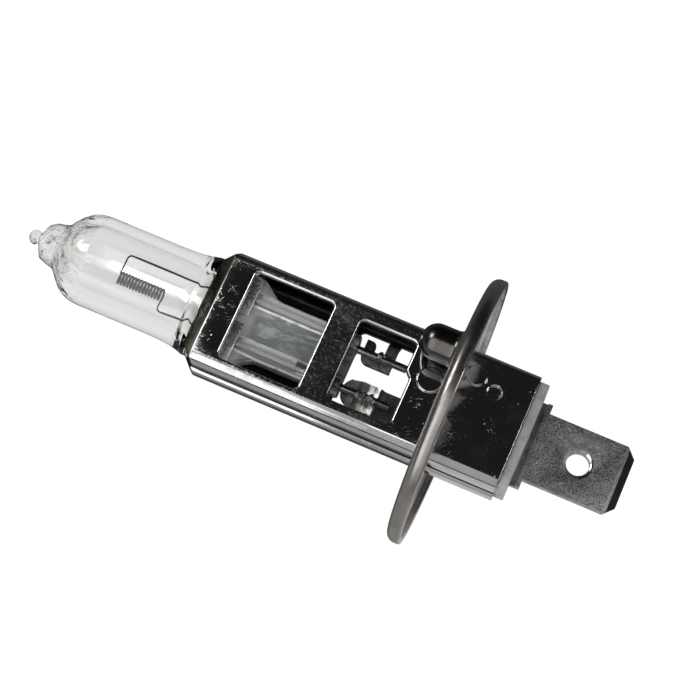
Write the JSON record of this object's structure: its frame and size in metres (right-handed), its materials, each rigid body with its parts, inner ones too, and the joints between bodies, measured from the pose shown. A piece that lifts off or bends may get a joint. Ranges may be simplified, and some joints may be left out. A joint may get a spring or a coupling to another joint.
{
  "type": "halogen headlamp bulb",
  "caption": "Single-filament halogen headlamp bulb: quartz capsule in a windowed metal sleeve, round prefocus flange and a flat blade terminal.",
  "frame": {"origin": "on the lamp axis in the front face of the flange, the face that seats in the headlamp", "axes": "+X along the lamp axis from the glass tip to the blade tip, +Z out of the windowed face of the front half shell, +Y across, on the side of the long filament lead"},
  "size_m": [0.0558, 0.0242, 0.0242],
  "materials": {
    "quartz": "clear, fire polished",
    "tungsten": "drawn wire, satin",
    "tungsten_wire": "fine drawn wire, satin",
    "molybdenum_foil": "etched foil, satin",
    "molybdenum": "drawn rod, satin",
    "strip_metal": "rolled strip, satin",
    "sleeve_plate": "bright nickel plate with fine scratches",
    "spring_steel": "rolled spring strip, satin",
    "flange_steel": "satin nickel plate",
    "blade_plate": "dull tin plate, mottled",
    "ceramic_plate": "matte, fired"
  },
  "bodies": {
    "root": {"quartz_envelope": "quartz", "filament_coil": "tungsten", "long_lead_overwind": "tungsten_wire", "short_lead_overwind": "tungsten_wire", "upper_foil": "molybdenum_foil", "lower_foil": "molybdenum_foil", "upper_lead_pin": "molybdenum", "lower_lead_pin": "molybdenum", "ground_tab": "strip_metal", "live_strip": "strip_metal", "front_half_shell": "sleeve_plate", "rear_half_shell": "sleeve_plate", "front_pinch_spring": "spring_steel", "rear_pinch_spring": "spring_steel", "flange_ring": "flange_steel", "terminal_blade": "blade_plate", "front_insulator": "ceramic_plate", "rear_insulator": "ceramic_plate"}
  },
  "joints": []
}
